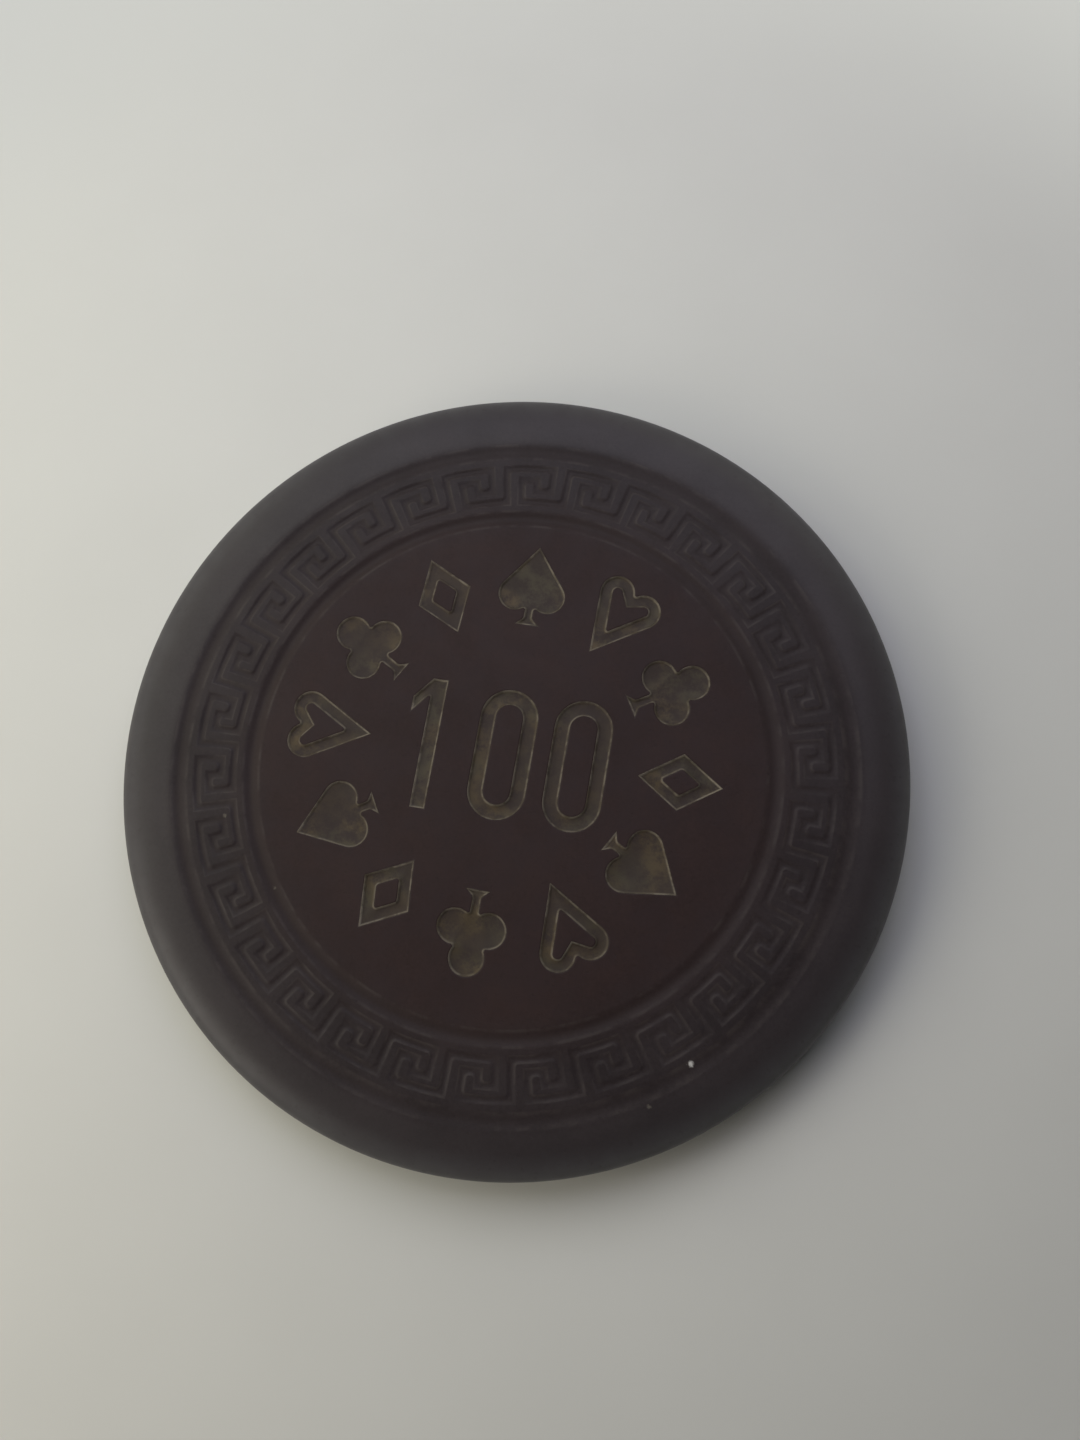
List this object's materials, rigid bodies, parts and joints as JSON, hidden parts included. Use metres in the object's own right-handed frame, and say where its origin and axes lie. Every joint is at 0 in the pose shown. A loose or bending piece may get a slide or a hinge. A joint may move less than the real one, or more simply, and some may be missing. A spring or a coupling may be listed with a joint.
{
  "type": "poker chip",
  "caption": "Round pressed-clay poker chip with a rolled rim, a Greek key border between two ring grooves, and a hot-stamped foil design of numerals and card pips on both faces.",
  "frame": {"origin": "centre of the back face, which lies on the table", "axes": "+Z out of the front face, +Y up the front stamp, +X along its reading direction"},
  "size_m": [0.039, 0.039, 0.0033],
  "materials": {
    "clay": "satin pressed clay composition, worn smooth",
    "foil": "dull worn gold stamping foil"
  },
  "bodies": {
    "root": {"clay_disc": "clay", "front_foil_numeral_1_one": "foil", "front_foil_numeral_2_zero": "foil", "front_foil_numeral_3_zero": "foil", "front_foil_spade_1": "foil", "front_foil_spade_2": "foil", "front_foil_spade_3": "foil", "front_foil_heart_1": "foil", "front_foil_heart_2": "foil", "front_foil_heart_3": "foil", "front_foil_club_1": "foil", "front_foil_club_2": "foil", "front_foil_club_3": "foil", "front_foil_diamond_1": "foil", "front_foil_diamond_2": "foil", "front_foil_diamond_3": "foil", "back_foil_numeral_1_one": "foil", "back_foil_numeral_2_zero": "foil", "back_foil_numeral_3_zero": "foil", "back_foil_spade_1": "foil", "back_foil_spade_2": "foil", "back_foil_spade_3": "foil", "back_foil_heart_1": "foil", "back_foil_heart_2": "foil", "back_foil_heart_3": "foil", "back_foil_club_1": "foil", "back_foil_club_2": "foil", "back_foil_club_3": "foil", "back_foil_diamond_1": "foil", "back_foil_diamond_2": "foil", "back_foil_diamond_3": "foil"}
  },
  "joints": []
}
